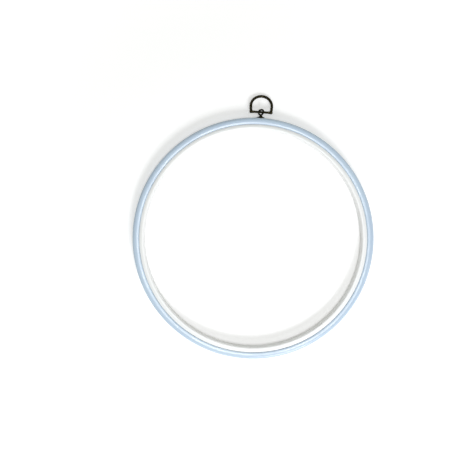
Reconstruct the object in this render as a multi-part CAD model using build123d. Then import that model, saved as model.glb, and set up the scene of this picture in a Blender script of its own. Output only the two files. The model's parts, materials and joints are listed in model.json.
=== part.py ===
from build123d import *
import math
import os

# Flexible embroidery hoop: a rigid inner ring, a stretchy outer ring that snaps over it, and a
# hanger pinned through the outer ring. Millimetres. The hoop's axis is +Z and its origin is the
# centre of the rings at mid-height. The hanger points along +Y. The hoop lies on its back.

# Rings
nominal_diameter = 203.2
ring_height = 10.0
inner_ring_wall = 4.3
outer_ring_wall = 5.9
stretch_gap = 0.3

# Inner ring: the crown of its face and the lip at its back edge
crown_place_share = 0.35
crown_drop_inside = 0.5
crown_drop_outside = 0.9
inner_ring_edge_round = 0.3
lip_height = 1.0
lip_reach = 0.9
lip_edge_round = 0.2
lip_clearance = 0.3

# Outer ring: the crown of its face, its rounded edges, and the hanger's seat and pocket
outer_crown_place_share = 0.45
outer_crown_drop = 0.4
outer_corner_round = 3.0
outer_mouth_round = 0.8
rebate_edge_round = 0.2
seat_depth = 0.6
seat_clearance = 0.1
pocket_depth = 1.4
pocket_clearance = 0.3
pocket_wall = 0.5

# Ferrule, a flared collar
ferrule_diameter = 7.4
ferrule_height = 2.6
ferrule_rim_height = 1.3
ferrule_rim_width = 0.9
ferrule_neck_diameter = 3.2
ferrule_edge_round = 0.25

# Eye pin, of doubled wire
eye_wire_diameter = 1.5
eye_tilt_degrees = 42.0
shank_diameter = 2.2
shank_clearance = 0.05
neck_lift = 0.1
neck_spread_share = 0.75
throat_length = 0.6
leg_thickness = 0.8
leg_lift = 0.1
leg_end_round = 0.3

# Hanging ring: an arch on a straight bar, which has play in the eye
arch_wire_diameter = 2.5
arch_radius = 9.45
arch_reach = 15.6
side_lean_degrees = 4.0
bar_diameter = 1.9
bar_side_clearance = 0.2
bar_end_clearance = 0.45
corner_ball_diameter = 2.8
foot_length = 3.0

# Places across the rings
half_height = ring_height / 2
inner_ring_outside = nominal_diameter / 2
inner_ring_inside = inner_ring_outside - inner_ring_wall
lip_radius = inner_ring_outside + lip_reach
rebate_radius = lip_radius + lip_clearance
outer_ring_inside = inner_ring_outside + stretch_gap
outer_ring_outside = outer_ring_inside + outer_ring_wall
overrun = ring_height

# Places along the pin, counted from the hoop's axis
leg_reach = half_height - lip_height - pocket_wall - pocket_clearance
pocket_radius = leg_reach + pocket_clearance
pocket_floor = outer_ring_inside + pocket_depth
leg_top = pocket_floor - leg_lift
leg_bottom = leg_top - leg_thickness
seat_floor = outer_ring_outside - seat_depth
seat_radius = ferrule_diameter / 2 + seat_clearance
shank_hole_radius = shank_diameter / 2 + shank_clearance
ferrule_top = seat_floor + ferrule_height
neck_bottom = ferrule_top + neck_lift

# The eye is as wide and as long as it takes to clear the bar all round when it is tilted.
eye_wire_radius = eye_wire_diameter / 2
neck_top = neck_bottom + eye_wire_radius
eye_bar_distance = eye_wire_radius + bar_diameter / 2
eye_tilt = math.radians(eye_tilt_degrees)
eye_half_width = (eye_bar_distance + bar_side_clearance) / math.sin(eye_tilt)
eye_half_length = eye_bar_distance + bar_end_clearance
bar_centre = neck_top + throat_length + eye_half_length


def rounded(section, corners, radius):
    """The section with its corners nearest to the given points rounded."""
    chosen = [section.vertices().sort_by_distance(corner)[0] for corner in corners]
    return fillet(chosen, radius)


def ring_of(section):
    """Turns a section, drawn as radius and height, about the hoop's axis."""
    return revolve(Plane.XZ * section, Axis.Z)


def turned_on_pin(section):
    """Turns a section, drawn as radius and distance from the hoop's axis, about the pin's axis."""
    return revolve(section, Axis.Y)


def pin_cylinder(radius, low, high):
    """A cylinder on the pin's axis, between two distances from the hoop's axis."""
    return extrude(Plane.XZ.offset(-high) * Circle(radius), amount=high - low)


def looped_wire(round_top, end_x, end_y, radius):
    """A round wire that runs straight from one end, round a top and straight to the other end."""
    right = Line((end_x, end_y), round_top @ 0)
    left = Line(round_top @ 1, (-end_x, end_y))
    path = Wire([right.edge(), round_top.edge(), left.edge()])
    section = Plane(origin=path @ 0, z_dir=path % 0) * Circle(radius)
    return sweep(section, path=path)


def inner_ring():
    """The rigid ring: a crowned face, straight walls, and a lip at the back edge."""
    back = -half_height
    crown = (inner_ring_inside + crown_place_share * inner_ring_wall, half_height)
    face_inside = (inner_ring_inside, half_height - crown_drop_inside)
    face_outside = (inner_ring_outside, half_height - crown_drop_outside)
    back_inside = (inner_ring_inside, back)
    lip_back = (lip_radius, back)
    lip_front = (lip_radius, back + lip_height)
    lip_root = (inner_ring_outside, back + lip_height)
    section = make_face(
        Curve()
        + [
            TangentArc(crown, face_inside, tangent=(-1, 0)),
            Polyline(face_inside, back_inside, lip_back, lip_front, lip_root, face_outside),
            TangentArc(crown, face_outside, tangent=(1, 0)),
        ]
    )
    section = rounded(section, [face_inside, face_outside, back_inside], inner_ring_edge_round)
    section = rounded(section, [lip_back, lip_front], lip_edge_round)
    return ring_of(section)


def outer_ring():
    """The stretchy ring: a crowned face, a rebate for the lip, and the hanger's seat and hole."""
    front, back = half_height, -half_height
    crown = (outer_ring_inside + outer_crown_place_share * outer_ring_wall, front)
    mouth = (outer_ring_inside, front - outer_crown_drop)
    rebate_edge = (rebate_radius, back)
    outside_corners = [(outer_ring_outside, back), (outer_ring_outside, front)]
    section = make_face(
        Curve()
        + [
            TangentArc(crown, mouth, tangent=(-1, 0)),
            Polyline(
                mouth,
                (outer_ring_inside, back + lip_height),
                (rebate_radius, back + lip_height),
                rebate_edge,
                *outside_corners,
                crown,
            ),
        ]
    )
    section = rounded(section, outside_corners, outer_corner_round)
    section = rounded(section, [mouth], outer_mouth_round)
    section = rounded(section, [rebate_edge], rebate_edge_round)
    ring = ring_of(section)
    ring -= pin_cylinder(seat_radius, seat_floor, seat_floor + overrun)
    ring -= pin_cylinder(shank_hole_radius, pocket_floor, seat_floor)
    ring -= pin_cylinder(pocket_radius, pocket_floor - overrun, pocket_floor)
    return ring


def ferrule():
    """The flared collar: a rim on the seat, drawn in to a neck round the shank."""
    rim_radius = ferrule_diameter / 2
    neck_front = (ferrule_neck_diameter / 2, ferrule_top)
    rim_edge = (rim_radius, seat_floor + ferrule_rim_height)
    flare_end = (rim_radius - ferrule_rim_width, seat_floor + ferrule_rim_height)
    section = make_face(
        Curve()
        + [
            Polyline(
                flare_end,
                rim_edge,
                (rim_radius, seat_floor),
                (shank_hole_radius, seat_floor),
                (shank_hole_radius, ferrule_top),
                neck_front,
            ),
            TangentArc(neck_front, flare_end, tangent=(0, -1)),
        ]
    )
    section = rounded(section, [rim_edge], ferrule_edge_round)
    return turned_on_pin(section)


def eye_loop():
    """The eye's wire: round the top of an ellipse, then straight to the neck on both sides."""
    neck_x = neck_spread_share * eye_wire_radius
    # A line from the neck touches the ellipse where it touches the unit circle it is scaled from.
    unit_x = neck_x / eye_half_width
    unit_y = (neck_top - bar_centre) / eye_half_length
    touch = math.atan2(unit_y, unit_x) + math.acos(1 / math.hypot(unit_x, unit_y))
    touch_degrees = math.degrees(touch)
    round_top = EllipticalCenterArc(
        (0, bar_centre),
        eye_half_width,
        eye_half_length,
        start_angle=touch_degrees,
        arc_size=180 - 2 * touch_degrees,
    )
    loop = looped_wire(round_top, neck_x, neck_top, eye_wire_radius)
    for side in (-1, 1):
        loop += Pos(side * neck_x, neck_top, 0) * Sphere(eye_wire_radius)
    return loop


def pin_neck():
    """The cone in which the eye's two wires come together above the shank."""
    neck_radius = (1 + neck_spread_share) * eye_wire_radius
    section = Polyline(
        (0, neck_bottom),
        (shank_diameter / 2, neck_bottom),
        (neck_radius, neck_top),
        (0, neck_top),
        close=True,
    )
    return turned_on_pin(make_face(section))


def pin_legs():
    """The two ends of the wire, bent apart against the pocket's floor."""
    leg_middle = (leg_top + leg_bottom) / 2
    legs = Pos(0, leg_middle, 0) * Box(2 * leg_reach, leg_thickness, shank_diameter)
    return fillet(legs.edges().filter_by(Axis.Y), leg_end_round)


def eye_pin():
    """The split pin, turned in its hole so that the eye lies round the bar."""
    shank = pin_cylinder(shank_diameter / 2, leg_bottom, neck_bottom)
    pin = eye_loop() + pin_neck() + shank + pin_legs()
    return Rot(0, -eye_tilt_degrees, 0) * pin


def hanger_ring():
    """The hanging ring, which droops from the eye until its arch rests on the table."""
    wire_radius = arch_wire_diameter / 2
    bar_radius = bar_diameter / 2
    lean = math.radians(side_lean_degrees)
    arch_centre = arch_reach - arch_radius
    side_rise = arch_centre - arch_radius * math.sin(lean)
    corner_x = arch_radius * math.cos(lean) - side_rise * math.tan(lean)
    round_top = CenterArc(
        (0, arch_centre), arch_radius, -side_lean_degrees, 180 + 2 * side_lean_degrees
    )
    ring = looped_wire(round_top, corner_x, 0, wire_radius)
    ring += Rot(0, 90, 0) * Cylinder(bar_radius, 2 * corner_x)
    for side in (-1, 1):
        ring += Pos(side * corner_x, 0, 0) * Sphere(corner_ball_diameter / 2)
        foot = Rot(0, -side * 90, 0) * Cone(wire_radius, bar_radius, foot_length)
        ring += Pos(side * (corner_x - foot_length / 2), 0, 0) * foot
    droop = math.asin((half_height - wire_radius) / arch_reach)
    return Pos(0, bar_centre, 0) * Rot(-math.degrees(droop), 0, 0) * ring


pieces = {
    "inner_ring": inner_ring(),
    "outer_ring": outer_ring(),
    "ferrule": ferrule(),
    "eye_pin": eye_pin(),
    "hanger_ring": hanger_ring(),
}

os.makedirs("parts", exist_ok=True)
for name, piece in pieces.items():
    export_step(piece, f"parts/{name}.step")
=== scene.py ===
"""A flexible embroidery hoop: the modelled surface and the finish of every piece.

Lengths are in metres. The rings' axis is +Z, the hanger points along +Y, and the origin is the
centre of the rings at mid-height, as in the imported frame.
"""

import json
import logging
import math
from abc import ABC, abstractmethod
from collections.abc import Iterable, Sequence
from dataclasses import dataclass
from enum import Enum

import bmesh
import bpy
import numpy as np
from bpy.types import ID, Material, Node, NodeInputs, NodeOutputs, NodeSocket, NodeTree, Object
from bpy.types import bpy_prop_collection as Collection
from mathutils import Matrix, Vector


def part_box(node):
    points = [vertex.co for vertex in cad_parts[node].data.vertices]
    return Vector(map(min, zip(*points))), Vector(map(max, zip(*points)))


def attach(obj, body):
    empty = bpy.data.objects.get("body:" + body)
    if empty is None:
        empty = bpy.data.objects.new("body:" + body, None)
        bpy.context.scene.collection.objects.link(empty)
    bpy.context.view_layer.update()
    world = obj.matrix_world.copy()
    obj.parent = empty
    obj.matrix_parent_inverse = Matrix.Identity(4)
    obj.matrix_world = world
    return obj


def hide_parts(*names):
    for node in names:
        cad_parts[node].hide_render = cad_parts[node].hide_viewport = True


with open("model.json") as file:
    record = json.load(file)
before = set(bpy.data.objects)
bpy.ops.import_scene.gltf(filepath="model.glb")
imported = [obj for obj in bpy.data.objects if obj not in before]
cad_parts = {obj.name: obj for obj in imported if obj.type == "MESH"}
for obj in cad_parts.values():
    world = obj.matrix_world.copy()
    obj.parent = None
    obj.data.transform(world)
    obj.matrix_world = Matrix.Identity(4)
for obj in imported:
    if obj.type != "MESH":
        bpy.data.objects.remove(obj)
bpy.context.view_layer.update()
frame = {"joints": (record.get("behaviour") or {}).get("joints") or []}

log = logging.getLogger("hoop")

MM = 0.001
FULL_TURN = 2 * math.pi

Colour = tuple[float, float, float, float]
WHITE: Colour = (1.0, 1.0, 1.0, 1.0)
NOISE_MEAN = 0.5


class Body(Enum):
    """The bodies that move on their own."""

    RIGID_RING = "rigid_ring"
    STRETCH_RING = "stretch_ring"
    PIN = "pin"
    HANGING_RING = "hanging_ring"


class Slot(Enum):
    """The record's material slots."""

    WHITE_PLASTIC = "white_plastic"
    BLUE_VINYL = "blue_vinyl"
    ANTIQUE_BRONZE = "antique_bronze"
    BRONZE_WIRE = "bronze_wire"


# Outlines


@dataclass(frozen=True)
class Corner:
    """A corner of an outline, with the radius that rounds it."""

    across: float
    up: float
    radius: float = 0.0

    @property
    def place(self) -> Vector:
        """The corner as a flat vector."""
        return Vector((self.across, self.up))


def arc_points(centre: Vector, start: Vector, sweep: float, step: float) -> list[Vector]:
    """Points along an arc, both ends included.

    Args:
        centre: The arc's centre.
        start: The arc's first point.
        sweep: The signed angle that the arc covers, in radians.
        step: The largest angle between two points, in radians.

    Returns:
        The points in order.
    """
    steps = max(2, math.ceil(abs(sweep) / step))
    arm = start - centre
    return [centre + Matrix.Rotation(sweep * i / steps, 2) @ arm for i in range(steps + 1)]


def signed_turn(first: Vector, second: Vector) -> float:
    """The angle from one flat direction to another, anticlockwise, within half a turn."""
    turn = math.atan2(second.y, second.x) - math.atan2(first.y, first.x)
    return (turn + math.pi) % FULL_TURN - math.pi


def tangent_arc(start: Vector, end: Vector, tangent: Vector, step: float) -> list[Corner]:
    """The arc that leaves one point along a tangent and ends at another.

    Args:
        start: Where the arc begins.
        end: Where the arc ends.
        tangent: The direction in which it leaves the start.
        step: The largest angle between two points, in radians.

    Returns:
        Plain corners along the arc, both ends included.
    """
    side = Vector((-tangent.y, tangent.x)).normalized()
    chord = end - start
    radius = chord.length_squared / (2 * chord.dot(side))
    centre = start + side * radius
    sweep = signed_turn(start - centre, end - centre)
    return [Corner(p.x, p.y) for p in arc_points(centre, start, sweep, step)]


def rounded_outline(corners: Sequence[Corner], step: float, longest: float) -> list[Vector]:
    """Walks round a closed outline, rounds its corners and divides its long runs.

    Args:
        corners: The outline's corners in order.
        step: The largest angle between two points of an arc, in radians.
        longest: The longest run that isn't divided.

    Returns:
        The outline's points in order.
    """
    points: list[Vector] = []
    for index, corner in enumerate(corners):
        if not corner.radius:
            points.append(corner.place)
            continue
        before = (corners[index - 1].place - corner.place).normalized()
        after = (corners[(index + 1) % len(corners)].place - corner.place).normalized()
        half = before.angle(after) / 2
        reach = corner.radius / math.tan(half)
        centre = corner.place + (before + after).normalized() * (corner.radius / math.sin(half))
        start, end = corner.place + before * reach, corner.place + after * reach
        points += arc_points(centre, start, signed_turn(start - centre, end - centre), step)
    divided: list[Vector] = []
    for here, there in zip(points, points[1:] + points[:1], strict=True):
        parts = max(1, math.ceil((there - here).length / longest))
        divided += [here.lerp(there, i / parts) for i in range(parts)]
    return divided


# Meshes


def in_scene(name: str, data: ID) -> Object:
    """A new object with this data, in the scene.

    Args:
        name: The object's name.
        data: Its mesh, light or camera.

    Returns:
        The new object.
    """
    thing = bpy.data.objects.new(name, data)
    bpy.context.scene.collection.objects.link(thing)
    return thing


def skin(name: str, rings: Sequence[Sequence[Vector]], closed: bool) -> Object:
    """Joins rings of points with a closed surface.

    Args:
        name: The new object's name.
        rings: Rings with as many points each, in order along the surface.
        closed: True if the last ring meets the first, and False if both ends are capped.

    Returns:
        The new object, in the scene.
    """
    mesh_maker = bmesh.new()
    rows = [[mesh_maker.verts.new(point) for point in ring] for ring in rings]
    pairs = list(zip(rows, rows[1:], strict=False))
    if closed:
        pairs.append((rows[-1], rows[0]))
    else:
        mesh_maker.faces.new(rows[0])
        mesh_maker.faces.new(rows[-1])
    for row, next_row in pairs:
        for i in range(len(row)):
            j = (i + 1) % len(row)
            mesh_maker.faces.new((row[i], row[j], next_row[j], next_row[i]))
    bmesh.ops.recalc_face_normals(mesh_maker, faces=mesh_maker.faces)
    mesh = bpy.data.meshes.new(name)
    mesh_maker.to_mesh(mesh)
    mesh_maker.free()
    return in_scene(name, mesh)


def turned(name: str, outline: Sequence[Vector], angles: Iterable[float]) -> Object:
    """Turns an outline of radius and height about the Z axis.

    Args:
        name: The new object's name.
        outline: The closed outline, as radius and height.
        angles: The angles of the stations round the axis, counted from +Y, in radians.

    Returns:
        The new object, in the scene.
    """
    rings = [
        [Vector((-p.x * math.sin(angle), p.x * math.cos(angle), p.y)) for p in outline]
        for angle in angles
    ]
    return skin(name, rings, closed=True)


def clamped(share: float) -> float:
    """The share, kept between 0 and 1."""
    return min(1.0, max(0.0, share))


def circle(radius: float, count: int, turn: float = 0.0) -> list[tuple[float, float]]:
    """Flat points evenly round a circle, from an angle on, in radians."""
    angles = (turn + a for a in even_angles(count))
    return [(radius * math.cos(a), radius * math.sin(a)) for a in angles]


def even_angles(count: int) -> list[float]:
    """Angles that divide a full turn evenly, in radians."""
    return [FULL_TURN * i / count for i in range(count)]


def settle_modifiers(piece: Object) -> None:
    """Makes the shape that the modifiers give the piece's own mesh.

    Args:
        piece: The object that is changed.
    """
    graph = bpy.context.evaluated_depsgraph_get()
    settled = bpy.data.meshes.new_from_object(piece.evaluated_get(graph))
    raw = piece.data
    piece.modifiers.clear()
    piece.data = settled
    bpy.data.meshes.remove(raw)


def cut(piece: Object, cutters: Sequence[Object]) -> None:
    """Subtracts the cutters from the piece and removes them.

    Args:
        piece: The object that is cut.
        cutters: Closed objects in the piece's own place.
    """
    for cutter in cutters:
        modifier = piece.modifiers.new("cut", "BOOLEAN")
        modifier.operation = "DIFFERENCE"
        modifier.solver = "EXACT"
        modifier.object = cutter
    settle_modifiers(piece)
    for cutter in cutters:
        bpy.data.objects.remove(cutter)


def shade_smooth(piece: Object, sharp_degrees: float) -> None:
    """Shades the piece smooth, apart from edges that turn by more than an angle."""
    piece.data.shade_smooth()
    piece.data.set_sharp_from_angle(angle=math.radians(sharp_degrees))


def numbers(items: Collection, name: str, width: int, kind: type = float) -> np.ndarray:
    """Reads a property of all the items at once.

    Args:
        items: A mesh's vertices, normals or edges.
        name: The property's name.
        width: How many numbers it has for each item.
        kind: The numbers' type.

    Returns:
        The numbers, with a row for each item.
    """
    values = np.empty(len(items) * width, kind)
    items.foreach_get(name, values)
    return values.reshape(-1, width)


def mark_convexity(piece: Object, full_radius: float, rounds: int) -> None:
    """Stores how sharply the surface bends outwards, for the finishes to wear it there and, on the
    bronze, to paint glints there.

    Args:
        piece: The object whose mesh gets the attribute.
        full_radius: The radius of the bend that counts as 1.
        rounds: How often each point is averaged with its neighbours.
    """
    mesh = piece.data
    count = len(mesh.vertices)
    places = numbers(mesh.vertices, "co", 3)
    normals = numbers(mesh.vertex_normals, "vector", 3)
    first, second = numbers(mesh.edges, "vertices", 2, int).T
    steps, turns = places[second] - places[first], normals[second] - normals[first]
    lengths = np.maximum((steps**2).sum(1), np.finfo(float).tiny)
    bend = (steps * turns).sum(1) / lengths
    neighbours = np.bincount(first, minlength=count) + np.bincount(second, minlength=count)
    neighbours = np.maximum(neighbours, 1)
    convexity = (np.bincount(first, bend, count) + np.bincount(second, bend, count)) / neighbours
    for _ in range(rounds):
        near = np.bincount(first, convexity[second], count)
        near += np.bincount(second, convexity[first], count)
        convexity = (convexity + near / neighbours) / 2
    attribute = mesh.attributes.new("convexity", "FLOAT", "POINT")
    attribute.data.foreach_set("value", np.clip(convexity * full_radius, -1, 1).astype(np.float32))


@dataclass(frozen=True)
class Shading:
    """How sharp an edge has to be to show, and how the wear mask reads the surface's bends."""

    sharp_degrees: float
    wear_radius: float
    wear_rounds: int = 1

    def apply(self, piece: Object) -> None:
        """Shades the piece and stores its wear mask."""
        shade_smooth(piece, self.sharp_degrees)
        mark_convexity(piece, self.wear_radius, self.wear_rounds)


def dress(piece: Object, material: Material, body: Body, slot: Slot, *nodes: str) -> None:
    """Gives a piece its finish, its body and the frame's nodes that it stands for.

    Args:
        piece: The modelled object.
        material: Its finish.
        body: The body that it moves with.
        slot: The record's slot for its finish; not used.
        nodes: The frame's nodes that it replaces.
    """
    piece.data.materials.clear()
    piece.data.materials.append(material)
    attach(piece, body.value)
    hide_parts(*nodes)
    log.info("%s: %d points, on %s", piece.name, len(piece.data.vertices), body.value)


# Shader nodes


class NodeSheet:
    """A node tree, with short ways to fill it."""

    def __init__(self, tree: NodeTree) -> None:
        """Keeps the tree that is filled."""
        self.tree = tree

    def add(self, kind: str, inputs: dict | None = None, **settings: object) -> Node:
        """Adds a node.

        Args:
            kind: The node's type, without the leading ShaderNode.
            inputs: A value or a socket for each named or numbered input.
            settings: The node's own settings.

        Returns:
            The new node.
        """
        node = self.tree.nodes.new("ShaderNode" + kind)
        for name, value in settings.items():
            setattr(node, name, value)
        for key, value in (inputs or {}).items():
            if isinstance(value, NodeSocket):
                self.tree.links.new(value, node.inputs[key])
            else:
                node.inputs[key].default_value = value
        return node

    def calc(self, operation: str, *terms: object) -> NodeSocket:
        """The result of a Math node on values or sockets."""
        return self.add("Math", dict(enumerate(terms)), operation=operation).outputs[0]

    def vector(self, operation: str, *terms: object) -> Node:
        """A Vector Math node on values or sockets."""
        return self.add("VectorMath", dict(enumerate(terms)), operation=operation)

    def place(self) -> NodeSocket:
        """The object's own coordinates."""
        return self.add("TexCoord").outputs["Object"]

    def link(self, result: NodeSocket, target: NodeSocket) -> None:
        """Feeds a result to a node's input."""
        self.tree.links.new(result, target)

    def fit(self, value: object, *, low: object, high: object) -> NodeSocket:
        """The value's place between low and high, as a smooth share from 0 to 1."""
        inputs = {"Value": value, "From Min": low, "From Max": high}
        return self.add("MapRange", inputs, interpolation_type="SMOOTHSTEP").outputs[0]

    def mix(self, share: object, first: object, second: object) -> NodeSocket:
        """The first colour turning into the second by a share."""
        # The node's colour sockets share their names with others, so they go by their numbers.
        inputs = {"Factor": share, 6: first, 7: second}
        return self.add("Mix", inputs, data_type="RGBA").outputs[2]

    def noise(self, vector: object, *, size: object, detail: float) -> NodeSocket:
        """Noise whose patches are about as large as a length."""
        scale = self.calc("DIVIDE", 1.0, size)
        return self.add("TexNoise", {"Vector": vector, "Scale": scale, "Detail": detail}).outputs[0]

    def group(self, tree: NodeTree, inputs: dict) -> Node:
        """Adds a node group and sets its inputs."""
        return self.add("Group", inputs, node_tree=tree)


@dataclass(frozen=True)
class Port:
    """An input or output of a node group."""

    name: str
    kind: str = "Float"


class Effects:
    """The node groups that more than one finish uses."""

    def __init__(self) -> None:
        """Builds the groups once."""
        self.uneven_colour = self._uneven_colour()
        self.handling = self._handling()
        self.wear_and_glint_mask = self._edge_wear()
        self.tarnish_and_glint = self._tarnish_and_glint()

    def _start(
        self, name: str, inputs: Sequence[Port], outputs: Sequence[Port]
    ) -> tuple[NodeSheet, NodeOutputs, NodeInputs]:
        """Makes an empty node group with its sockets.

        Args:
            name: The group's name.
            inputs: Its inputs in order.
            outputs: Its outputs in order.

        Returns:
            The group's sheet, what it is given and what it has to give, by name.
        """
        tree = bpy.data.node_groups.new(name, "ShaderNodeTree")
        for ports, direction in ((inputs, "INPUT"), (outputs, "OUTPUT")):
            for port in ports:
                kind = "NodeSocket" + port.kind
                tree.interface.new_socket(name=port.name, in_out=direction, socket_type=kind)
        entry, way_out = tree.nodes.new("NodeGroupInput"), tree.nodes.new("NodeGroupOutput")
        return NodeSheet(tree), entry.outputs, way_out.inputs

    def _rolled(self, sheet: NodeSheet, ring_radius: NodeSocket, stretch: NodeSocket) -> NodeSocket:
        """Coordinates that stretch a pattern along a ring, with no seam.

        Args:
            sheet: The group's sheet.
            ring_radius: The radius of the ring that the pattern follows.
            stretch: How many times longer the pattern is along the ring. With a radius of 0 and a
                stretch of 1, the coordinates are the object's own.

        Returns:
            The coordinates.
        """
        place = sheet.place()
        flat = sheet.vector("MULTIPLY", place, (1, 1, 0)).outputs[0]
        radius = sheet.vector("LENGTH", flat).outputs["Value"]
        way = sheet.vector("NORMALIZE", flat).outputs[0]
        rolled = sheet.calc("DIVIDE", ring_radius, stretch)
        across = sheet.calc("SUBTRACT", radius, ring_radius)
        reach = sheet.calc("ADD", across, rolled)
        spread = sheet.add("VectorMath", {0: way, "Scale": reach}, operation="SCALE").outputs[0]
        upright = sheet.vector("MULTIPLY", place, (0, 0, 1)).outputs[0]
        return sheet.vector("ADD", spread, upright).outputs[0]

    def _uneven_colour(self) -> NodeTree:
        """One colour turning into another in soft patches.

        Returns:
            The group's tree.
        """
        sheet, given, wanted = self._start(
            "uneven colour",
            [
                Port("First", "Color"),
                Port("Second", "Color"),
                Port("Patch"),
                Port("Ring Radius"),
                Port("Stretch"),
            ],
            [Port("Colour", "Color")],
        )
        rolled = self._rolled(sheet, given["Ring Radius"], given["Stretch"])
        patches = sheet.noise(rolled, size=given["Patch"], detail=3.0)
        share = sheet.fit(patches, low=0.32, high=0.68)
        mixed = sheet.mix(share, given["First"], given["Second"])
        sheet.link(mixed, wanted["Colour"])
        return sheet.tree

    def _handling(self) -> NodeTree:
        """Roughness that fingers and fabric have made uneven, and the height of fine marks.

        Returns:
            The group's tree.
        """
        sheet, given, wanted = self._start(
            "handling marks",
            [
                Port("Roughness"),
                Port("Spread"),
                Port("Patch"),
                Port("Mark"),
                Port("Ring Radius"),
                Port("Stretch"),
            ],
            [Port("Roughness"), Port("Height")],
        )
        rolled = self._rolled(sheet, given["Ring Radius"], given["Stretch"])
        patches = sheet.noise(rolled, size=given["Patch"], detail=4.0)
        marks = sheet.noise(rolled, size=given["Mark"], detail=2.0)
        marks_share = 0.4
        mean = NOISE_MEAN * (1 + marks_share)
        both = sheet.calc("MULTIPLY_ADD", marks, marks_share, patches)
        change = sheet.calc("MULTIPLY", sheet.calc("SUBTRACT", both, mean), given["Spread"])
        rough = sheet.calc("ADD", given["Roughness"], change)
        sheet.link(rough, wanted["Roughness"])
        sheet.link(marks, wanted["Height"])
        return sheet.tree

    def _edge_wear(self) -> NodeTree:
        """A mask of the raised places that get rubbed, broken up by noise; on the bronze it also
        places painted glints.

        Returns:
            The group's tree.
        """
        sheet, given, wanted = self._start(
            "wear and glint mask",
            [Port("From"), Port("To"), Port("Patch"), Port("Breakup")],
            [Port("Mask")],
        )
        bend = sheet.add("Attribute", attribute_name="convexity").outputs["Fac"]
        patches = sheet.noise(sheet.place(), size=given["Patch"], detail=3.0)
        uneven = sheet.calc("SUBTRACT", patches, NOISE_MEAN)
        change = sheet.calc("MULTIPLY", uneven, given["Breakup"])
        broken = sheet.calc("ADD", bend, change)
        worn = sheet.fit(broken, low=given["From"], high=given["To"])
        sheet.link(worn, wanted["Mask"])
        return sheet.tree

    def _tarnish_and_glint(self) -> NodeTree:
        """A darkened metal's colour, paler on the worn crests, where it shows uncovered brass and
        painted glints.

        Returns:
            The group's tree.
        """
        sheet, given, wanted = self._start(
            "tarnish_and_glint",
            [Port("Dark", "Color"), Port("Brown", "Color"), Port("Metal And Glint", "Color"), Port("Wear")],
            [Port("Colour", "Color")],
        )
        patches = sheet.noise(sheet.place(), size=1.3 * MM, detail=4.0)
        share = sheet.fit(patches, low=0.35, high=0.7)
        patina = sheet.mix(share, given["Dark"], given["Brown"])
        # Painted glints: the paler colour on the worn crests stands in for highlights as well as
        # uncovered brass.
        rubbed = sheet.mix(given["Wear"], patina, given["Metal And Glint"])
        sheet.link(rubbed, wanted["Colour"])
        return sheet.tree


# Finishes


def blank_material(name: str) -> tuple[Material, NodeSheet, Node]:
    """A new material with its sheet and its Principled shader.

    Args:
        name: The material's name.

    Returns:
        The material, its sheet and its shader.
    """
    material = bpy.data.materials.new(name)
    material.use_nodes = True
    shader = next(n for n in material.node_tree.nodes if n.type == "BSDF_PRINCIPLED")
    return material, NodeSheet(material.node_tree), shader


@dataclass(frozen=True, kw_only=True)
class Finish(ABC):
    """What all the finishes share: rubbed edges (on the bronze also painted glints), uneven gloss
    and fine marks.
    """

    name: str
    roughness: float
    roughness_spread: float
    gloss_patch: float
    mark_size: float
    mark_depth: float = 0.012 * MM
    wear_from: float
    wear_to: float
    wear_patch: float
    wear_breakup: float
    worn_polish: float = 0.0
    ring_radius: float = 0.0
    stretch: float = 1.0

    @abstractmethod
    def _colour(self, sheet: NodeSheet, effects: Effects, wear: NodeSocket) -> NodeSocket:
        """Adds the finish's colour.

        Args:
            sheet: The material's sheet.
            effects: The shared node groups.
            wear: The mask of the rubbed edges, which on the bronze also places painted glints.

        Returns:
            The colour.
        """

    @abstractmethod
    def _set_constants(self, shader: Node) -> None:
        """Sets what is the same all over the surface."""

    def material(self, effects: Effects) -> Material:
        """Builds the material.

        Args:
            effects: The shared node groups.

        Returns:
            The new material.
        """
        material, sheet, shader = blank_material(self.name)
        rubbed = {
            "From": self.wear_from,
            "To": self.wear_to,
            "Patch": self.wear_patch,
            "Breakup": self.wear_breakup,
        }
        # On the bronze this mask also places painted glints on the raised crests.
        wear = sheet.group(effects.wear_and_glint_mask, rubbed).outputs[0]
        handled = {
            "Roughness": self.roughness,
            "Spread": self.roughness_spread,
            "Patch": self.gloss_patch,
            "Mark": self.mark_size,
            "Ring Radius": self.ring_radius,
            "Stretch": self.stretch,
        }
        marks = sheet.group(effects.handling, handled).outputs
        polish = sheet.calc("MULTIPLY", wear, self.worn_polish)
        rough = sheet.calc("SUBTRACT", marks["Roughness"], polish)
        bump = sheet.add("Bump", {"Height": marks["Height"], "Distance": self.mark_depth})
        sheet.link(self._colour(sheet, effects, wear), shader.inputs["Base Color"])
        sheet.link(rough, shader.inputs["Roughness"])
        sheet.link(bump.outputs[0], shader.inputs["Normal"])
        self._set_constants(shader)
        return material


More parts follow.
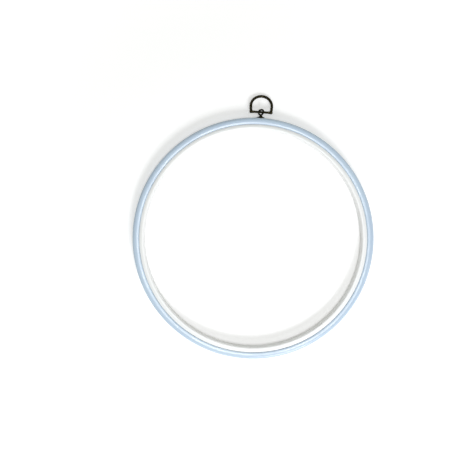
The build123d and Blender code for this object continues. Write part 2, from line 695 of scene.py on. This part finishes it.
@dataclass(frozen=True, kw_only=True)
class RingFinish(Finish):
    """A moulded ring's finish: soft patches of colour and fine marks drawn along the ring."""

    first: Colour
    second: Colour
    worn: Colour
    under_light: float
    depth_of_light: float = 1.2 * MM
    colour_patch: float = 9 * MM
    gloss_patch: float = 4 * MM
    mark_size: float = 0.5 * MM
    wear_from: float = 0.25
    wear_to: float = 0.9
    wear_patch: float = 3 * MM
    wear_breakup: float = 0.5
    wear_share: float = 0.35
    ring_radius: float = 0.104
    stretch: float = 7.0

    def _colour(self, sheet: NodeSheet, effects: Effects, wear: NodeSocket) -> NodeSocket:
        """Adds soft patches of two colours, a little paler where they are rubbed.

        Args:
            sheet: The material's sheet.
            effects: The shared node groups.
            wear: The mask of the rubbed edges.

        Returns:
            The colour.
        """
        inputs = {
            "First": self.first,
            "Second": self.second,
            "Patch": self.colour_patch,
            "Ring Radius": self.ring_radius,
            "Stretch": self.stretch,
        }
        colour = sheet.group(effects.uneven_colour, inputs).outputs[0]
        return sheet.mix(sheet.calc("MULTIPLY", wear, self.wear_share), colour, self.worn)

    def _set_constants(self, shader: Node) -> None:
        """Lets light a little way into the plastic.

        Args:
            shader: The material's Principled shader.
        """
        shader.inputs["Subsurface Weight"].default_value = self.under_light
        shader.inputs["Subsurface Radius"].default_value = WHITE[:3]
        shader.inputs["Subsurface Scale"].default_value = self.depth_of_light


@dataclass(frozen=True, kw_only=True)
class BronzeFinish(Finish):
    """Brass darkened almost to black, paler on what gets rubbed, where it shows the metal and
    painted glints.
    """

    dark: Colour = (0.004, 0.004, 0.002, 1.0)
    brown: Colour = (0.010, 0.009, 0.005, 1.0)
    # Paler colour on the rubbed crests: uncovered brass, and painted glints that stand in for
    # highlights.
    bare_and_glint: Colour = (0.06, 0.05, 0.026, 1.0)
    glancing_tint: Colour = (0.12, 0.12, 0.08, 1.0)
    roughness: float = 0.46
    roughness_spread: float = 0.3
    gloss_patch: float = 1.6 * MM
    mark_size: float = 0.35 * MM
    wear_patch: float = 0.9 * MM
    wear_breakup: float = 0.6
    worn_polish: float = 0.12

    def _colour(self, sheet: NodeSheet, effects: Effects, wear: NodeSocket) -> NodeSocket:
        """Adds the patina, paler on the rubbed crests, where it shows uncovered brass and painted
        glints.
        """
        inputs = {"Dark": self.dark, "Brown": self.brown, "Metal And Glint": self.bare_and_glint, "Wear": wear}
        return sheet.group(effects.tarnish_and_glint, inputs).outputs[0]

    def _set_constants(self, shader: Node) -> None:
        """Makes it metal, and keeps it dark at a glancing angle."""
        shader.inputs["Metallic"].default_value = 1.0
        shader.inputs["Specular Tint"].default_value = self.glancing_tint


# Rings


@dataclass(frozen=True)
class RigidRing:
    """The rigid plastic ring: a crowned face, straight walls, and a lip at the back edge."""

    lip_radius: float
    half_height: float
    lip_reach: float = 0.9 * MM
    lip_height: float = 1.0 * MM
    lip_round: float = 0.2 * MM
    wall: float = 4.3 * MM
    crown_place_share: float = 0.35
    crown_drop_inside: float = 0.5 * MM
    crown_drop_outside: float = 0.9 * MM
    edge_round: float = 0.3 * MM
    stations: int = 600
    crown_step: float = math.radians(3)
    round_step: float = math.radians(12)
    longest_run: float = 1.2 * MM
    ejector_marks: int = 12
    ejector_radius: float = 1.3 * MM
    ejector_depth: float = 0.12 * MM
    ejector_points: int = 32
    shading: Shading = Shading(sharp_degrees=35, wear_radius=0.6 * MM)

    @property
    def outside(self) -> float:
        """The radius of the outside wall."""
        return self.lip_radius - self.lip_reach

    @property
    def inside(self) -> float:
        """The radius of the inside wall."""
        return self.outside - self.wall

    def outline(self) -> list[Vector]:
        """The ring's section, as radius and height.

        Returns:
            The outline's points in order.
        """
        top, back = self.half_height, -self.half_height
        crown = Vector((self.inside + self.crown_place_share * self.wall, top))
        inside_edge = Vector((self.inside, top - self.crown_drop_inside))
        outside_edge = Vector((self.outside, top - self.crown_drop_outside))
        to_inside = tangent_arc(crown, inside_edge, Vector((-1, 0)), self.crown_step)
        to_outside = tangent_arc(crown, outside_edge, Vector((1, 0)), self.crown_step)
        corners = [
            Corner(self.inside, back, self.edge_round),
            Corner(self.lip_radius, back, self.lip_round),
            Corner(self.lip_radius, back + self.lip_height, self.lip_round),
            Corner(self.outside, back + self.lip_height),
            *self._eased(list(reversed(to_outside))),
            *reversed(self._eased(list(reversed(to_inside)))[:-1]),
        ]
        return rounded_outline(corners, self.round_step, self.longest_run)

    def _eased(self, arc: list[Corner]) -> list[Corner]:
        """The arc with its first corner rounded, and the points that this takes in left out.

        Args:
            arc: Plain corners along the arc.

        Returns:
            The corners that are left, with the rounded one first.
        """
        edge = arc[0]
        kept = [c for c in arc[1:] if (c.place - edge.place).length > 2 * self.edge_round]
        return [Corner(edge.across, edge.up, self.edge_round), *kept]

    def build(self) -> Object:
        """Models the ring, with the marks that its mould leaves on the back.

        Returns:
            The new piece.
        """
        piece = turned("rigid_ring_moulding", self.outline(), even_angles(self.stations))
        cut(piece, [self._ejector_mark(i) for i in range(self.ejector_marks)])
        self.shading.apply(piece)
        return piece

    def _ejector_mark(self, index: int) -> Object:
        """A cutter for one round mark of the mould's ejector pins.

        Args:
            index: The mark's number round the ring.

        Returns:
            The cutter, which goes through the ring's back.
        """
        angle = FULL_TURN * (index + 0.5) / self.ejector_marks
        middle = (self.inside + self.outside) / 2
        centre = Vector((-middle * math.sin(angle), middle * math.cos(angle), 0))
        points = circle(self.ejector_radius, self.ejector_points)
        heights = (-2 * self.half_height, self.ejector_depth - self.half_height)
        rings = [[centre + Vector((x, y, z)) for x, y in points] for z in heights]
        return skin(f"ejector_mark_{index}", rings, closed=False)


@dataclass(frozen=True)
class StretchRing:
    """The soft vinyl ring: rounded outside, with the hanger's seat, hole and pocket."""

    outside: float
    half_height: float
    seat_floor: float
    wall: float = 6.1 * MM
    corner_round: float = 3.0 * MM
    mouth_round: float = 0.65 * MM
    crown_place_share: float = 0.45
    crown_drop: float = 0.4 * MM
    rebate_radius: float = 102.8 * MM
    rebate_height: float = 1.0 * MM
    rebate_round: float = 0.2 * MM
    parting_width: float = 0.3 * MM
    parting_height: float = 0.05 * MM
    seat_radius: float = 3.8 * MM
    hole_radius: float = 1.15 * MM
    pocket_radius: float = 3.5 * MM
    pocket_depth: float = 1.6 * MM
    bulge_height: float = 0.16 * MM
    bulge_radius: float = 4.5 * MM
    bulge_width: float = 0.9 * MM
    coarse_step: float = math.radians(0.75)
    fine_step: float = math.radians(0.12)
    fine_span: float = math.radians(4.2)
    crown_step: float = math.radians(1)
    round_step: float = math.radians(7)
    longest_run: float = 0.7 * MM
    cutter_points: int = 96
    cutter_turn: float = math.radians(1)
    cutter_overrun: float = 1 * MM
    shading: Shading = Shading(sharp_degrees=32, wear_radius=0.9 * MM)

    @property
    def inside(self) -> float:
        """The radius of the inside wall."""
        return self.outside - self.wall

    def outline(self) -> list[Vector]:
        """The ring's section, as radius and height.

        Returns:
            The outline's points in order.
        """
        top, back = self.half_height, -self.half_height
        wall = self.outside - self.parting_height
        flash = self.parting_width / 2
        crown = Vector((self.inside + self.crown_place_share * self.wall, top))
        mouth = Vector((self.inside, top - self.crown_drop))
        face = tangent_arc(crown, mouth, Vector((-1, 0)), self.crown_step)
        corners = [
            Corner(self.inside, back + self.rebate_height),
            Corner(self.rebate_radius, back + self.rebate_height),
            Corner(self.rebate_radius, back, self.rebate_round),
            Corner(wall, back, self.corner_round),
            Corner(wall, -flash),
            Corner(self.outside, -flash / 3),
            Corner(self.outside, flash / 3),
            Corner(wall, flash),
            Corner(wall, top, self.corner_round),
            *(c for c in face[:-1] if (c.place - mouth).length > self.mouth_round),
            Corner(mouth.x, mouth.y, self.mouth_round),
        ]
        return rounded_outline(corners, self.round_step, self.longest_run)

    def stations(self) -> list[float]:
        """The stations' angles, closer together round the hanger, with none on the pin's axis.

        Returns:
            The angles from +Y, in radians.
        """
        fine_count = round(2 * self.fine_span / self.fine_step)
        start = self.fine_step / 2 - self.fine_span
        fine = [start + self.fine_step * i for i in range(fine_count)]
        rest = FULL_TURN - 2 * self.fine_span
        coarse_count = round(rest / self.coarse_step)
        fine_end = start + 2 * self.fine_span
        return fine + [fine_end + rest * i / coarse_count for i in range(coarse_count)]

    def _bulge(self, piece: Object) -> None:
        """Pushes the outside up a little round the collar that presses into it.

        Args:
            piece: The ring, before anything is cut into it.
        """
        middle = self.seat_floor - self.wall / 2
        for vertex in piece.data.vertices:
            place = vertex.co
            if place.y < self.seat_floor / 2 or math.hypot(place.x, place.y) < middle:
                continue
            away = (math.hypot(place.x, place.z) - self.bulge_radius) / self.bulge_width
            place.y += self.bulge_height * math.exp(-away * away)

    def build(self) -> Object:
        """Models the ring, with the hanger's seat, hole and pocket cut into it.

        Returns:
            The new piece.
        """
        piece = turned("vinyl_ring_moulding", self.outline(), self.stations())
        self._bulge(piece)
        hole_low = self.inside - self.cutter_overrun
        hole_high = self.seat_floor + self.cutter_overrun
        pocket_end = self.inside + self.pocket_depth
        cutters = [
            self._cutter("seat_cutter", self.seat_radius, self.seat_floor, 2 * self.outside),
            self._cutter("hole_cutter", self.hole_radius, hole_low, hole_high),
            self._cutter("pocket_cutter", self.pocket_radius, 0, pocket_end),
        ]
        cut(piece, cutters)
        self.shading.apply(piece)
        return piece

    def _cutter(self, name: str, radius: float, low: float, high: float) -> Object:
        """A cylinder on the pin's axis between two distances from the rings' axis.

        Args:
            name: The cutter's name.
            radius: The cylinder's radius.
            low: Where it begins, from the rings' axis.
            high: Where it ends, from the rings' axis.

        Returns:
            The cutter.
        """
        points = circle(radius, self.cutter_points, self.cutter_turn)
        rings = [[Vector((x, y, z)) for x, z in points] for y in (low, high)]
        return skin(name, rings, closed=False)


# Hanger


@dataclass(frozen=True)
class Ferrule:
    """The flared collar between the vinyl ring and the eye."""

    low: float
    high: float
    radius: float
    rim_height: float = 1.3 * MM
    rim_width: float = 0.9 * MM
    neck_radius: float = 1.6 * MM
    bore_radius: float = 1.15 * MM
    edge_round: float = 0.22 * MM
    neck_round: float = 0.12 * MM
    flare_step: float = math.radians(6)
    round_step: float = math.radians(15)
    longest_run: float = 0.4 * MM
    points_round: int = 120
    shading: Shading = Shading(sharp_degrees=40, wear_radius=0.5 * MM)

    def build(self) -> Object:
        """Models the collar, turned about the pin's axis.

        Returns:
            The new piece.
        """
        rim_top = self.low + self.rim_height
        neck = Vector((self.neck_radius, self.high))
        flare_end = Vector((self.radius - self.rim_width, rim_top))
        flare = tangent_arc(neck, flare_end, Vector((0, -1)), self.flare_step)
        corners = [
            Corner(self.bore_radius, self.high, self.neck_round),
            Corner(self.neck_radius, self.high, self.neck_round),
            *flare[1:],
            Corner(self.radius, rim_top, self.edge_round),
            Corner(self.radius, self.low, self.neck_round),
            Corner(self.bore_radius, self.low),
        ]
        outline = rounded_outline(corners, self.round_step, self.longest_run)
        rings = [
            [Vector((p.x * math.cos(angle), p.y, p.x * math.sin(angle))) for p in outline]
            for angle in even_angles(self.points_round)
        ]
        piece = skin("ferrule_collar", rings, closed=True)
        self.shading.apply(piece)
        return piece


@dataclass(frozen=True)
class SplitPin:
    """One wire, bent to an eye: its halves lie together in the shank and spread into legs."""

    bar_centre: float
    leg_bottom: float
    collar_top: float
    eye_top: float
    wire_radius: float = 0.75 * MM
    shank_radius: float = 1.1 * MM
    split_gap: float = 0.02 * MM
    leg_reach: float = 3.2 * MM
    leg_thickness: float = 0.8 * MM
    neck_lift: float = 0.1 * MM
    eye_half_width: float = 2.84 * MM
    tilt_degrees: float = 42.0
    flat_length: float = 1 * MM
    flat_fade: float = 1 * MM
    smallest_tip_share: float = 0.35
    step: float = 0.1 * MM
    eye_steps: int = 48
    easing_rounds: int = 5
    points_round: int = 32
    shading: Shading = Shading(sharp_degrees=40, wear_radius=0.5 * MM)

    @property
    def neck_bottom(self) -> float:
        """Where the halves of the shank begin to turn round."""
        return self.collar_top + self.neck_lift

    @property
    def neck_top(self) -> float:
        """Where the wire is round."""
        return self.neck_bottom + self.wire_radius

    def _half_path(self) -> list[Vector]:
        """The right half of the wire's centre line, from its leg's tip to the eye's top.

        Returns:
            Flat points, as the distance across and the distance from the rings' axis.
        """
        shank_x = (self.split_gap + self.shank_radius) / 2
        leg_middle = self.leg_bottom + self.leg_thickness / 2
        half_length = self.eye_top - self.wire_radius - self.bar_centre
        rise = (self.neck_top - self.bar_centre) / half_length
        unit = Vector((shank_x / self.eye_half_width, rise))
        touch = math.atan2(unit.y, unit.x) + math.acos(1 / unit.length)
        path = [
            Vector((self.leg_reach, leg_middle)),
            Vector((shank_x, leg_middle)),
            Vector((shank_x, self.neck_top)),
        ]
        for i in range(self.eye_steps + 1):
            angle = touch + (math.pi / 2 - touch) * i / self.eye_steps
            across = self.eye_half_width * math.cos(angle)
            path.append(Vector((across, self.bar_centre + half_length * math.sin(angle))))
        return path

    def _path(self) -> np.ndarray:
        """The whole centre line in even steps, with its bends eased.

        Returns:
            The points in order, with a row for each.
        """
        half = self._half_path()
        corners = np.array([*half, *(Vector((-p.x, p.y)) for p in reversed(half[:-1]))])
        gone = np.concatenate([[0], np.hypot(*np.diff(corners, axis=0).T).cumsum()])
        places = np.linspace(0, gone[-1], round(gone[-1] / self.step) + 1)
        line = np.stack([np.interp(places, gone, corners[:, i]) for i in range(2)], axis=1)
        for _ in range(self.easing_rounds):
            line[1:-1] = (line[:-2] + 2 * line[1:-1] + line[2:]) / 4
        return line

    def _section(self, y: float, end_share: float) -> list[tuple[float, float]]:
        """The wire's section at a distance from the rings' axis.

        Args:
            y: The distance from the rings' axis.
            end_share: The section's size as a share, which falls at a leg's rounded tip.

        Returns:
            Points as the distance outwards from the centre line and the distance across.
        """
        neck_length = self.neck_top - self.neck_bottom
        roundness = clamped((y - self.neck_bottom) / (2 * neck_length))
        fullness = clamped((y - self.leg_bottom - self.flat_length) / self.flat_fade)
        full = self.shank_radius - self.split_gap
        thickness = self.leg_thickness + (full - self.leg_thickness) * fullness
        points = []
        for angle in even_angles(self.points_round):
            half_disc = thickness * (max(math.cos(angle), 0.0) - 0.5)
            out = half_disc * (1 - roundness) + self.wire_radius * math.cos(angle) * roundness
            width = self.shank_radius * (1 - roundness) + self.wire_radius * roundness
            points.append((out * end_share, width * math.sin(angle) * end_share))
        return points

    def build(self) -> Object:
        """Models the wire and turns it in its hole, so that the eye lies round the bar.

        Returns:
            The new piece.
        """
        line = self._path()
        ways = np.gradient(line, axis=0)
        ways /= np.hypot(*ways.T)[:, None]
        last = len(line) - 1
        rings = []
        for index, (place, way) in enumerate(zip(line, ways, strict=True)):
            to_end = min(index, last - index) * self.step / (self.leg_thickness / 2)
            tip_share = math.sqrt(1 - (1 - clamped(to_end)) ** 2)
            share = max(self.smallest_tip_share, tip_share)
            rings.append(
                [
                    Vector((place[0] + way[1] * out, place[1] - way[0] * out, across))
                    for out, across in self._section(place[1], share)
                ]
            )
        piece = skin("split_pin_wire", rings, closed=False)
        piece.data.transform(Matrix.Rotation(math.radians(-self.tilt_degrees), 4, "Y"))
        self.shading.apply(piece)
        return piece


@dataclass(frozen=True)
class RopeRing:
    """The hanging ring: a rope-twist arch that turns in at its feet, on a plain bar."""

    bar_centre: float
    half_height: float
    wire_radius: float = 1.25 * MM
    arch_radius: float = 9.45 * MM
    arch_reach: float = 15.6 * MM
    side_lean: float = math.radians(4.0)
    bar_radius: float = 0.95 * MM
    corner_radius: float = 1.38 * MM
    foot_length: float = 3.0 * MM
    foot_taper: float = 0.1 * MM
    shoulder_from_share: float = 0.8
    shoulder_end_share: float = 0.9
    bar_wear_depth: float = 0.04 * MM
    bar_wear_width: float = 1.2 * MM
    strands: int = 3
    lay_length: float = 7.8 * MM
    groove_depth: float = 0.27 * MM
    step: float = 0.12 * MM
    points_round: int = 60
    bar_steps: int = 120
    bar_points: int = 40
    corner_steps: int = 40
    corner_points: int = 48
    voxel: float = 0.085 * MM
    easing: float = 0.5
    easing_rounds: int = 2
    shading: Shading = Shading(sharp_degrees=180, wear_radius=0.6 * MM, wear_rounds=3)

    @property
    def arch_centre(self) -> float:
        """The distance from the bar to the centre of the arch's round top."""
        return self.arch_reach - self.arch_radius

    @property
    def corner_x(self) -> float:
        """Half the distance between the corners where the arch meets the bar."""
        rise = self.arch_centre - self.arch_radius * math.sin(self.side_lean)
        return self.arch_radius * math.cos(self.side_lean) - rise * math.tan(self.side_lean)

    def _arch_path(self) -> list[Vector]:
        """The arch's centre line in even steps, from the right corner to the left one.

        Returns:
            Flat points, as the distance across and the distance from the bar.
        """
        centre = Vector((0, self.arch_centre))
        arm = Vector((math.cos(self.side_lean), -math.sin(self.side_lean))) * self.arch_radius
        sweep = math.pi + 2 * self.side_lean
        top = arc_points(centre, centre + arm, sweep, self.step / self.arch_radius)
        corner = Vector((self.corner_x, 0))
        count = round((top[0] - corner).length / self.step)
        side = [corner.lerp(top[0], i / count) for i in range(count)]
        return [*side, *top, *(Vector((-p.x, p.y)) for p in reversed(side))]

    def _rope_ring(self, place: Vector, way: Vector, gone: float, radius: float) -> list[Vector]:
        """A ring of points round the rope.

        Args:
            place: The centre line's point.
            way: The direction along the rope.
            gone: The length of rope so far, which turns the strands.
            radius: The rope's radius over its strands.

        Returns:
            The ring's points.
        """
        outward = Vector((way.y, -way.x, 0))
        points = []
        for angle in even_angles(self.points_round):
            phase = (angle - FULL_TURN * gone / self.lay_length) * self.strands / FULL_TURN
            from_crest = 2 * abs(phase - round(phase))
            rope = radius - self.groove_depth * from_crest**2
            across = outward * math.cos(angle) + Vector((0, 0, math.sin(angle)))
            points.append(place.to_3d() + across * rope)
        return points

    def _arch(self) -> Object:
        """The rope-twist arch.

        Returns:
            The arch, with its bar's axis along X.
        """
        path = self._arch_path()
        rings, gone = [], 0.0
        for index, place in enumerate(path):
            before, after = path[max(index - 1, 0)], path[min(index + 1, len(path) - 1)]
            gone += (place - before).length
            way = (after - before).normalized()
            rings.append(self._rope_ring(place, way, gone, self.wire_radius))
        return skin("rope_arch", rings, closed=False)

    def _foot(self, side: int) -> Object:
        """The arch's end, which turns along the bar and ends in a rounded shoulder.

        Args:
            side: 1 for the right one and -1 for the left one.

        Returns:
            The foot.
        """
        count = round(self.foot_length / self.step)
        end_radius = self.bar_radius * self.shoulder_end_share
        rings = []
        for index in range(count + 1):
            share = index / count
            radius = self.wire_radius - self.foot_taper * share
            shoulder = clamped((share - self.shoulder_from_share) / (1 - self.shoulder_from_share))
            radius = end_radius + (radius - end_radius) * math.sqrt(1 - shoulder**2)
            place = Vector((side * (self.corner_x - self.foot_length * share), 0))
            gone = self.foot_length * share
            rings.append(self._rope_ring(place, Vector((-side, 0)), gone, radius))
        return skin("rope_foot", rings, closed=False)

    def _bar(self) -> Object:
        """The plain bar, a little waisted where it has worn in the eye.

        Returns:
            The bar.
        """
        rings = []
        for index in range(self.bar_steps + 1):
            x = self.corner_x * (2 * index / self.bar_steps - 1)
            wear = self.bar_wear_depth * math.exp(-((x / self.bar_wear_width) ** 2))
            points = circle(self.bar_radius - wear, self.bar_points)
            rings.append([Vector((x, y, z)) for y, z in points])
        return skin("plain_bar", rings, closed=False)

    def _corner(self, side: int) -> Object:
        """The ball in which the arch meets the bar.

        Args:
            side: 1 for the right one and -1 for the left one.

        Returns:
            The ball.
        """
        rings = []
        for index in range(1, self.corner_steps):
            angle = math.pi * index / self.corner_steps
            x = side * self.corner_x + self.corner_radius * math.cos(angle)
            points = circle(self.corner_radius * math.sin(angle), self.corner_points)
            rings.append([Vector((x, y, z)) for y, z in points])
        return skin("rope_corner", rings, closed=False)

    def build(self) -> Object:
        """Models the ring as one casting, drooping until its arch rests on the table.

        Returns:
            The new piece.
        """
        piece = self._arch()
        piece.name = "rope_twist_ring"
        sides = (-1, 1)
        parts = [self._bar(), *map(self._foot, sides), *map(self._corner, sides)]
        joined = bmesh.new()
        for part in (piece, *parts):
            joined.from_mesh(part.data)
        joined.to_mesh(piece.data)
        joined.free()
        for part in parts:
            bpy.data.objects.remove(part)
        remesh = piece.modifiers.new("cast", "REMESH")
        remesh.mode = "VOXEL"
        remesh.voxel_size = self.voxel
        smooth = piece.modifiers.new("ease", "SMOOTH")
        smooth.factor = self.easing
        smooth.iterations = self.easing_rounds
        settle_modifiers(piece)
        droop = math.asin((self.half_height - self.wire_radius) / self.arch_reach)
        place = Matrix.Translation((0, self.bar_centre, 0)) @ Matrix.Rotation(-droop, 4, "X")
        piece.data.transform(place)
        self.shading.apply(piece)
        return piece


# Stage


@dataclass(frozen=True)
class Lamp:
    """A soft rectangular lamp, placed by the picture's right and upward directions."""

    name: str
    right: float
    up: float
    height: float
    width: float
    length: float
    power: float = 6.7
    colour: tuple[float, float, float] = (0.98, 0.99, 1.03)


PANEL = Lamp(name="overhead panel", right=0.08, up=-0.2, height=1.39, width=0.36, length=0.36)
SOFTBOX = Lamp(name="softbox", right=0.28, up=-0.8, height=0.7, width=0.4, length=0.3)


@dataclass(frozen=True)
class Studio:
    """The table, the light and the camera."""

    table_height: float
    face_height: float
    lamps: tuple[Lamp, ...] = (PANEL, SOFTBOX)
    picture_turn: float = math.radians(3.7)
    hoop_right_of_centre: float = 25.1 * MM
    hoop_below_centre: float = 11.8 * MM
    camera_height: float = 467 * MM
    view_width: float = 400 * MM
    table_gap: float = 0.05 * MM
    table_size: float = 8.0
    room_light: float = 0.29
    room_colour: Colour = (1.0, 1.0, 0.88, 1.0)
    table_glow: float = 0.24
    glow_from: float = 0.15
    glow_full: float = 0.7
    table_colour: Colour = (0.9, 0.9, 0.9, 1.0)
    table_roughness: float = 0.9

    @property
    def picture_right(self) -> Vector:
        """The picture's right, in the frame."""
        return Vector((math.cos(self.picture_turn), math.sin(self.picture_turn), 0))

    @property
    def picture_up(self) -> Vector:
        """The picture's upward direction, in the frame."""
        return Vector((-math.sin(self.picture_turn), math.cos(self.picture_turn), 0))

    def _seen_ray(self, sheet: NodeSheet) -> NodeSocket:
        """1 for the rays that show a thing, straight or in gloss or glass, and 0 for light.

        Args:
            sheet: The sheet of the material or the room.

        Returns:
            The share, 0 or 1.
        """
        path = sheet.add("LightPath")
        shown = sheet.calc("MAXIMUM", path.outputs["Is Camera Ray"], path.outputs["Is Glossy Ray"])
        return sheet.calc("MAXIMUM", shown, path.outputs["Is Transmission Ray"])

    def table(self) -> None:
        """A pale table that keeps the hoop's shadow and shows white further off."""
        half = self.table_size / 2
        level = self.table_height - self.table_gap
        mesh = bpy.data.meshes.new("table")
        across = ((-half, -half), (half, -half), (half, half), (-half, half))
        corners = [(x, y, level) for x, y in across]
        mesh.from_pydata(corners, [], [(0, 1, 2, 3)])
        top = in_scene("table", mesh)
        material, sheet, shader = blank_material("pale table")
        shader.inputs["Base Color"].default_value = self.table_colour
        shader.inputs["Roughness"].default_value = self.table_roughness
        shader.inputs["Emission Color"].default_value = WHITE
        away = sheet.vector("LENGTH", sheet.place()).outputs["Value"]
        far = sheet.fit(away, low=self.glow_from, high=self.glow_full)
        strength = sheet.calc("MULTIPLY_ADD", far, 1 - self.table_glow, self.table_glow)
        glow = sheet.calc("MULTIPLY", self._seen_ray(sheet), strength)
        sheet.link(glow, shader.inputs["Emission Strength"])
        mesh.materials.append(material)

    def _hang(self, lamp: Lamp) -> None:
        """Puts a lamp in its place and turns it towards the hoop.

        Args:
            lamp: The lamp's place and size.
        """
        data = bpy.data.lights.new(lamp.name, "AREA")
        data.shape, data.size, data.size_y = "RECTANGLE", lamp.width, lamp.length
        data.energy, data.color = lamp.power, lamp.colour
        light = in_scene(lamp.name, data)
        place = self.picture_right * lamp.right + self.picture_up * lamp.up
        light.location = place + Vector((0, 0, lamp.height))
        light.rotation_mode = "QUATERNION"
        light.rotation_quaternion = light.location.to_track_quat("Z", "Y")

    def lights(self) -> None:
        """The lamps, in an evenly lit room."""
        for lamp in self.lamps:
            self._hang(lamp)
        world = bpy.data.worlds.new("room")
        world.use_nodes = True
        sheet = NodeSheet(world.node_tree)
        background = next(n for n in world.node_tree.nodes if n.type == "BACKGROUND")
        seen = self._seen_ray(sheet)
        colour = sheet.mix(seen, self.room_colour, WHITE)
        strength = sheet.calc("MULTIPLY_ADD", seen, 1 - self.room_light, self.room_light)
        sheet.link(colour, background.inputs["Color"])
        sheet.link(strength, background.inputs["Strength"])
        bpy.context.scene.world = world

    def camera(self) -> None:
        """A camera straight above the table, with the hoop a little off the picture's centre."""
        data = bpy.data.cameras.new("camera")
        data.lens = data.sensor_width * (self.camera_height - self.face_height) / self.view_width
        camera = in_scene("camera", data)
        over = self.picture_up * self.hoop_below_centre
        over -= self.picture_right * self.hoop_right_of_centre
        camera.location = over + Vector((0, 0, self.camera_height))
        camera.rotation_euler = (0, 0, self.picture_turn)
        bpy.context.scene.camera = camera


def joint_place(name: str) -> Vector:
    """A joint's place in the frame, by its name."""
    return next(Vector(j["pos_m"]) for j in frame["joints"] if j["name"] == name)


def main() -> None:
    """Builds every piece round the frame, dresses it and sets the stage."""
    logging.basicConfig(level=logging.INFO, format="%(name)s: %(message)s")
    effects = Effects()
    white_plastic = RingFinish(
        name="white plastic",
        first=(0.92, 0.93, 0.925, 1.0),
        second=(0.89, 0.905, 0.905, 1.0),
        worn=(0.93, 0.93, 0.915, 1.0),
        roughness=0.3,
        roughness_spread=0.22,
        under_light=0.1,
    ).material(effects)
    blue_vinyl = RingFinish(
        name="blue vinyl",
        first=(0.545, 0.67, 0.79, 1.0),
        second=(0.50, 0.62, 0.755, 1.0),
        worn=(0.66, 0.76, 0.84, 1.0),
        roughness=0.24,
        roughness_spread=0.32,
        under_light=0.15,
        mark_depth=0.018 * MM,
    ).material(effects)
    cast_bronze = BronzeFinish(name="cast bronze", wear_from=0.25, wear_to=0.75).material(effects)
    wire_bronze = BronzeFinish(name="drawn bronze", wear_from=0.6, wear_to=1.3).material(effects)

    inner_low, inner_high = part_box("inner_ring")
    rigid = RigidRing(lip_radius=inner_high.x, half_height=inner_high.z)
    dress(rigid.build(), white_plastic, Body.RIGID_RING, Slot.WHITE_PLASTIC, "inner_ring")

    outer_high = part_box("outer_ring")[1]
    collar_low, collar_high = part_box("ferrule")
    stretch = StretchRing(
        outside=outer_high.x, half_height=outer_high.z, seat_floor=collar_low.y
    )
    dress(stretch.build(), blue_vinyl, Body.STRETCH_RING, Slot.BLUE_VINYL, "outer_ring")

    ferrule = Ferrule(low=collar_low.y, high=collar_high.y, radius=collar_high.z)
    dress(ferrule.build(), cast_bronze, Body.STRETCH_RING, Slot.ANTIQUE_BRONZE, "ferrule")

    bar_centre = joint_place("hanger_swing").y
    pin_low, pin_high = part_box("eye_pin")
    pin = SplitPin(
        bar_centre=bar_centre,
        leg_bottom=pin_low.y,
        collar_top=collar_high.y,
        eye_top=pin_high.y,
    )
    dress(pin.build(), wire_bronze, Body.PIN, Slot.BRONZE_WIRE, "eye_pin")

    rope = RopeRing(bar_centre=bar_centre, half_height=inner_high.z)
    dress(rope.build(), cast_bronze, Body.HANGING_RING, Slot.ANTIQUE_BRONZE, "hanger_ring")

    studio = Studio(table_height=inner_low.z, face_height=inner_high.z)
    studio.table()
    studio.lights()
    studio.camera()
    bpy.context.scene.view_settings.view_transform = "Standard"


if __name__ == "__main__":
    main()
